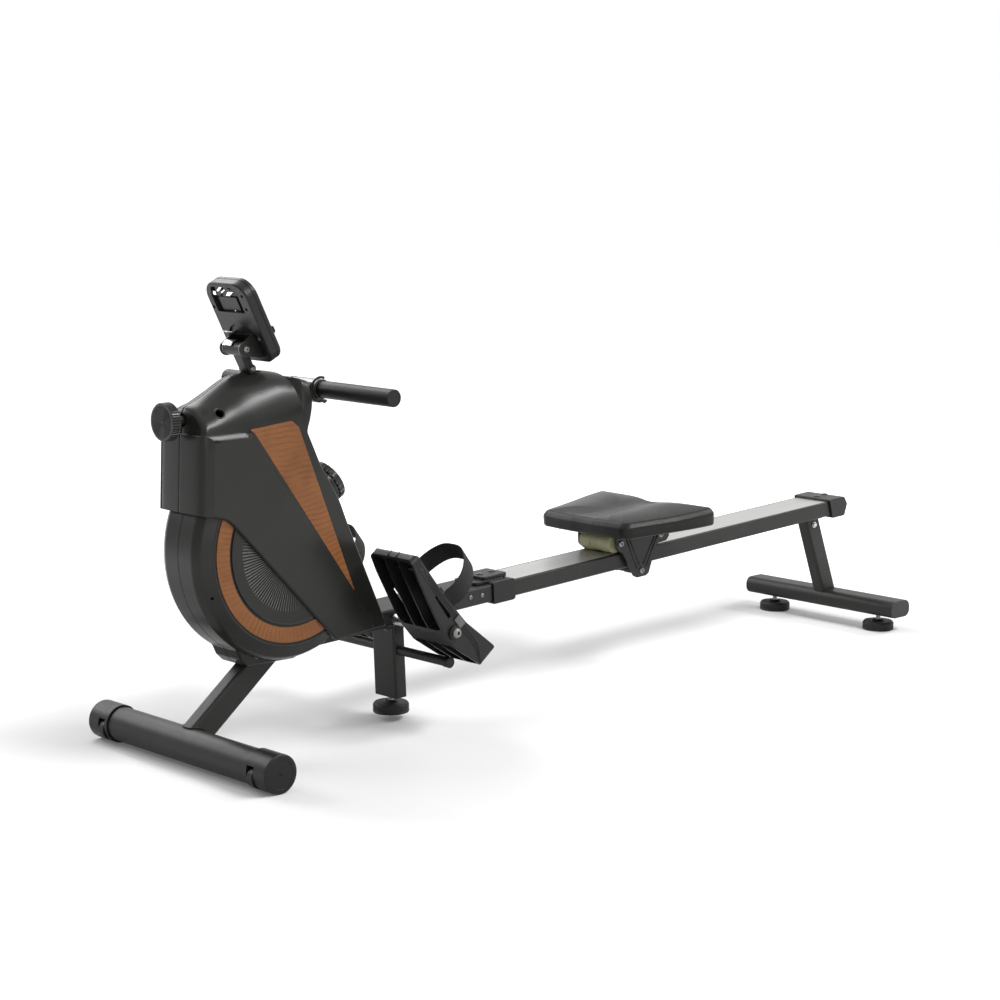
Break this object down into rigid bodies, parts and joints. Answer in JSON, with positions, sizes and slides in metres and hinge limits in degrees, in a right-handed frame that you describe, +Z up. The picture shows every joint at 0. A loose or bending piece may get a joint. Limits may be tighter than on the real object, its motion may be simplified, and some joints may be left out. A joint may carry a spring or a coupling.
{
  "type": "magnetic rowing machine",
  "caption": "Magnetic rowing machine: a covered flywheel and strap-pulled handle at the front, pivoting foot pedals, and a padded seat that rolls along a long rail to a rear foot.",
  "frame": {"origin": "on the floor, in the middle of the machine's length and width", "axes": "+X from the front stabiliser along the rail to the rear foot, +Z up, +Y to the left as seen looking along +X"},
  "size_m": [1.7444, 0.492, 0.7968],
  "materials": {
    "frame_paint": "satin black powder coat",
    "cover_plastic": "charcoal moulded plastic with a satin sheen",
    "black_plastic": "black moulded plastic",
    "rubber": "black rubber",
    "wood": "brown wood-grain inlay",
    "steel": "bright steel",
    "silver_plate": "satin silver",
    "cast_iron": "dark cast iron",
    "roller_plastic": "olive nylon",
    "foam": "black foam grip",
    "vinyl": "black grained vinyl",
    "webbing": "black woven webbing",
    "lens": "dark glossy window"
  },
  "bodies": {
    "base": {"front_stabilizer_tube": "frame_paint", "front_end_cap_left": "black_plastic", "front_end_cap_right": "black_plastic", "front_leg": "frame_paint", "main_beam": "frame_paint", "mid_leg": "frame_paint", "pedal_stop_bar": "frame_paint", "slide_rail": "frame_paint", "rail_running_plate": "silver_plate", "rail_sleeve": "black_plastic", "rear_end_cap": "black_plastic", "rear_leg": "frame_paint", "rear_stabilizer_tube": "frame_paint", "rear_end_plug_left": "black_plastic", "rear_end_plug_right": "black_plastic", "upper_cover_left": "cover_plastic", "upper_cover_right": "cover_plastic", "wood_wedge_left": "wood", "wood_wedge_right": "wood", "round_cover_left": "cover_plastic", "round_cover_right": "cover_plastic", "wood_crescent_left": "wood", "wood_crescent_right": "wood", "flywheel_frame": "frame_paint", "drive_belt": "rubber", "pull_strap": "webbing", "handle_hook": "black_plastic", "console_mast": "frame_paint", "pedal_axle": "steel"},
    "wheel_left": {"transport_wheel_left": "black_plastic"},
    "wheel_right": {"transport_wheel_right": "black_plastic"},
    "mid_foot": {"mid_foot": "rubber"},
    "rear_foot_left": {"rear_foot_left": "rubber"},
    "rear_foot_right": {"rear_foot_right": "rubber"},
    "flywheel": {"flywheel": "cast_iron", "flywheel_axle": "steel"},
    "belt_pulley": {"belt_pulley": "black_plastic"},
    "strap_drum": {"strap_drum": "black_plastic"},
    "strap_guide": {"strap_guide_roller": "black_plastic"},
    "handle": {"handle_bar": "steel", "handle_grip_left": "foam", "handle_grip_right": "foam"},
    "tension_knob": {"tension_knob": "black_plastic"},
    "magnet_bracket": {"magnet_bracket": "steel"},
    "front_knob": {"front_knob": "black_plastic"},
    "pedal_left": {"pedal_left": "black_plastic", "pedal_strap_left": "webbing"},
    "pedal_right": {"pedal_right": "black_plastic", "pedal_strap_right": "webbing"},
    "console": {"console_back": "black_plastic", "console_front": "black_plastic", "console_lens": "lens", "battery_door": "black_plastic", "console_bracket": "frame_paint"},
    "console_button": {"console_button": "black_plastic"},
    "seat": {"seat_cushion": "vinyl", "seat_carriage": "frame_paint"},
    "roller_front": {"seat_roller_front": "roller_plastic"},
    "roller_rear": {"seat_roller_rear": "roller_plastic"},
    "roller_lower": {"seat_roller_lower": "roller_plastic"}
  },
  "joints": [
    {"name": "wheel_left_spin", "type": "hinge", "parent": "base", "child": "wheel_left", "pos_m": [-0.84974, 0.2066, 0.02472], "axis": [0, 1, 0], "continuous": true},
    {"name": "wheel_right_spin", "type": "hinge", "parent": "base", "child": "wheel_right", "pos_m": [-0.84974, -0.2066, 0.02472], "axis": [0, 1, 0], "continuous": true},
    {"name": "mid_foot_turn", "type": "hinge", "parent": "base", "child": "mid_foot", "pos_m": [-0.39148, 0, 0.0125], "axis": [0, 0, 1], "range_deg": [-720, 720]},
    {"name": "rear_foot_left_turn", "type": "hinge", "parent": "base", "child": "rear_foot_left", "pos_m": [0.83976, 0.14, 0], "axis": [0, 0, 1], "range_deg": [-720, 720]},
    {"name": "rear_foot_right_turn", "type": "hinge", "parent": "base", "child": "rear_foot_right", "pos_m": [0.83976, -0.14, 0], "axis": [0, 0, 1], "range_deg": [-720, 720]},
    {"name": "flywheel_spin", "type": "hinge", "parent": "base", "child": "flywheel", "pos_m": [-0.67124, 0, 0.342], "axis": [0, 1, 0], "continuous": true},
    {"name": "belt_pulley_spin", "type": "hinge", "parent": "base", "child": "belt_pulley", "pos_m": [-0.72823, 0, 0.528], "axis": [0, 1, 0], "continuous": true},
    {"name": "handle_pull", "type": "slide", "parent": "base", "child": "handle", "axis": [1, 0, 0], "range_m": [0, 1]},
    {"name": "strap_drum_spin", "type": "hinge", "parent": "base", "child": "strap_drum", "pos_m": [-0.72823, 0, 0.528], "axis": [0, 1, 0], "range_deg": [0, 2250]},
    {"name": "strap_guide_spin", "type": "hinge", "parent": "base", "child": "strap_guide", "pos_m": [-0.63723, 0, 0.5965], "axis": [0, 1, 0], "range_deg": [0, 6310]},
    {"name": "tension_knob_turn", "type": "hinge", "parent": "base", "child": "tension_knob", "pos_m": [-0.53953, 0, 0.43973], "axis": [0.8545, 0, 0.5195], "range_deg": [0, 300]},
    {"name": "magnet_swing", "type": "hinge", "parent": "base", "child": "magnet_bracket", "pos_m": [-0.77833, 0, 0.43186], "axis": [0, 1, 0], "range_deg": [0, 8.1]},
    {"name": "front_knob_turn", "type": "hinge", "parent": "base", "child": "front_knob", "pos_m": [-0.85523, 0, 0.573], "axis": [1, 0, 0], "range_deg": [-360, 360]},
    {"name": "pedal_left_tilt", "type": "hinge", "parent": "base", "child": "pedal_left", "pos_m": [-0.41845, 0.143, 0.19123], "axis": [0, -1, 0], "range_deg": [0, 25]},
    {"name": "pedal_right_tilt", "type": "hinge", "parent": "base", "child": "pedal_right", "pos_m": [-0.41845, -0.143, 0.19123], "axis": [0, -1, 0], "range_deg": [0, 25]},
    {"name": "console_tilt", "type": "hinge", "parent": "base", "child": "console", "pos_m": [-0.72074, 0, 0.6825], "axis": [0, 1, 0], "range_deg": [-10, 20]},
    {"name": "console_button_press", "type": "slide", "parent": "console", "child": "console_button", "axis": [-0.895, 0, -0.4461], "range_m": [0, 0.0012], "stiffness_N_per_m": 400},
    {"name": "seat_slide", "type": "slide", "parent": "base", "child": "seat", "axis": [0.9989, 0, 0.0461], "range_m": [-0.25, 0.49]},
    {"name": "roller_front_roll", "type": "hinge", "parent": "seat", "child": "roller_front", "pos_m": [0.14478, 0, 0.25582], "axis": [0, 1, 0], "range_deg": [-720, 1410]},
    {"name": "roller_rear_roll", "type": "hinge", "parent": "seat", "child": "roller_rear", "pos_m": [0.25666, 0, 0.26098], "axis": [0, 1, 0], "range_deg": [-720, 1410]},
    {"name": "roller_lower_roll", "type": "hinge", "parent": "seat", "child": "roller_lower", "pos_m": [0.20357, 0, 0.19656], "axis": [0, 1, 0], "range_deg": [-3125, 1600]}
  ],
  "couplings": [
    {"joint": "belt_pulley_spin", "follows": "flywheel_spin", "ratio": 0.27273},
    {"joint": "strap_drum_spin", "follows": "handle_pull", "rad_per_m": 39.062},
    {"joint": "strap_guide_spin", "follows": "handle_pull", "rad_per_m": 109.89},
    {"joint": "magnet_swing", "follows": "tension_knob_turn", "ratio": 0.026667},
    {"joint": "roller_front_roll", "follows": "seat_slide", "rad_per_m": 50},
    {"joint": "roller_rear_roll", "follows": "seat_slide", "rad_per_m": 50},
    {"joint": "roller_lower_roll", "follows": "seat_slide", "rad_per_m": -111.11}
  ]
}
